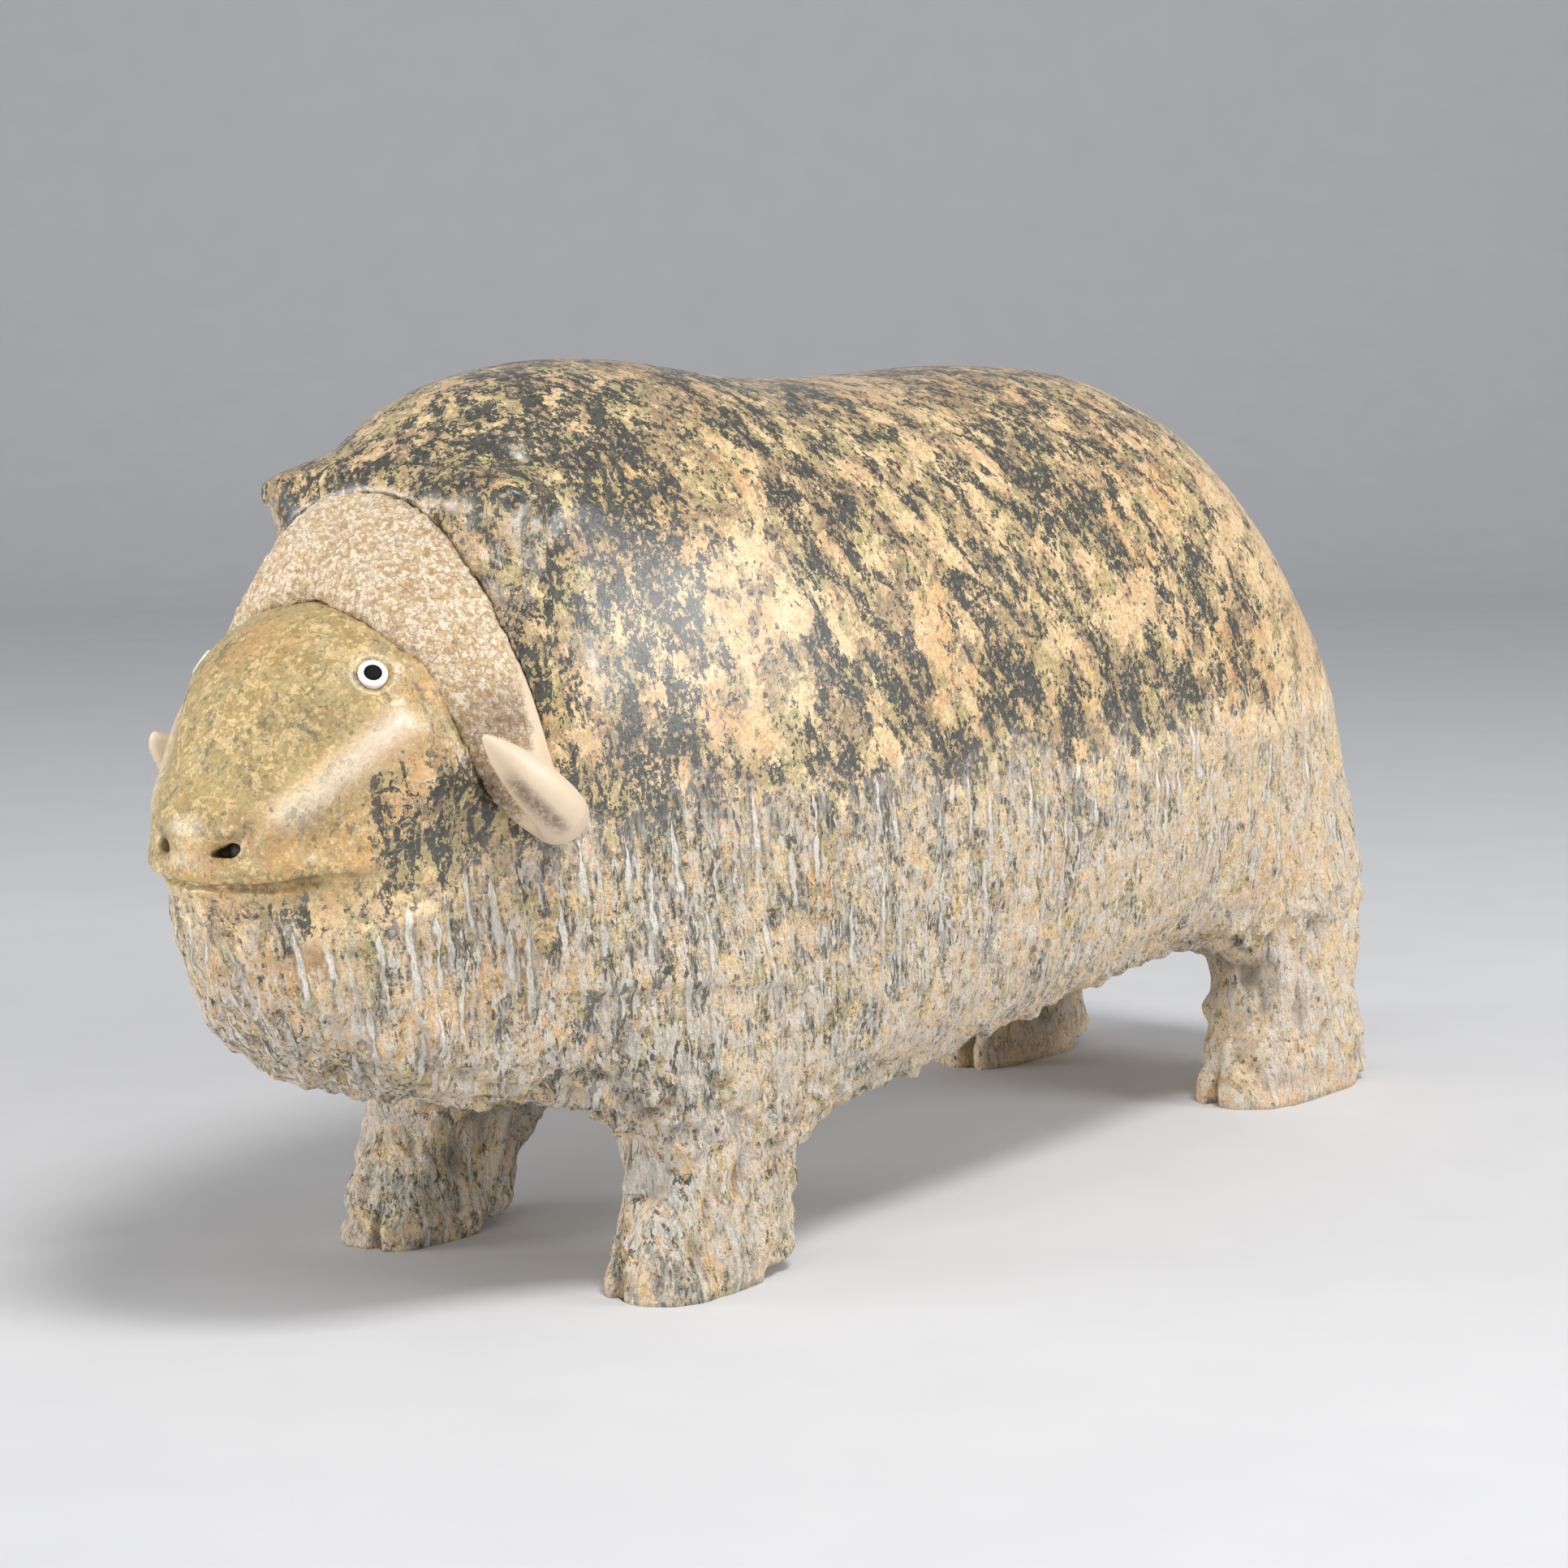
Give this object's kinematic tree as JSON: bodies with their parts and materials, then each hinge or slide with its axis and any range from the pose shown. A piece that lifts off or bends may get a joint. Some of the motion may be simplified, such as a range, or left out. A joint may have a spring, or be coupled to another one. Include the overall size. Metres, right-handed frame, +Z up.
{
  "type": "muskox stone carving",
  "caption": "Standing muskox carved from one block of mottled stone, with an inlaid antler horn saddle and flush inlaid eyes; it rests freely on its feet.",
  "frame": {"origin": "middle of the bounding box in plan, at the level of the soles", "axes": "+Z up, -Y towards the nose, +X towards the animal's left side"},
  "size_m": [0.11, 0.3482, 0.1732],
  "materials": {
    "mottled_stone": "polished upper body and head, rough chiselled skirt, beard and legs",
    "antler": "satin antler, spongy core exposed in front, smooth rim behind",
    "eye_white": "smooth white bone or antler",
    "eye_black": "polished black"
  },
  "bodies": {
    "root": {"stone_muskox": "mottled_stone", "antler_horns": "antler", "left_eye_ring": "eye_white", "right_eye_ring": "eye_white", "left_eye_pupil": "eye_black", "right_eye_pupil": "eye_black"}
  },
  "joints": []
}
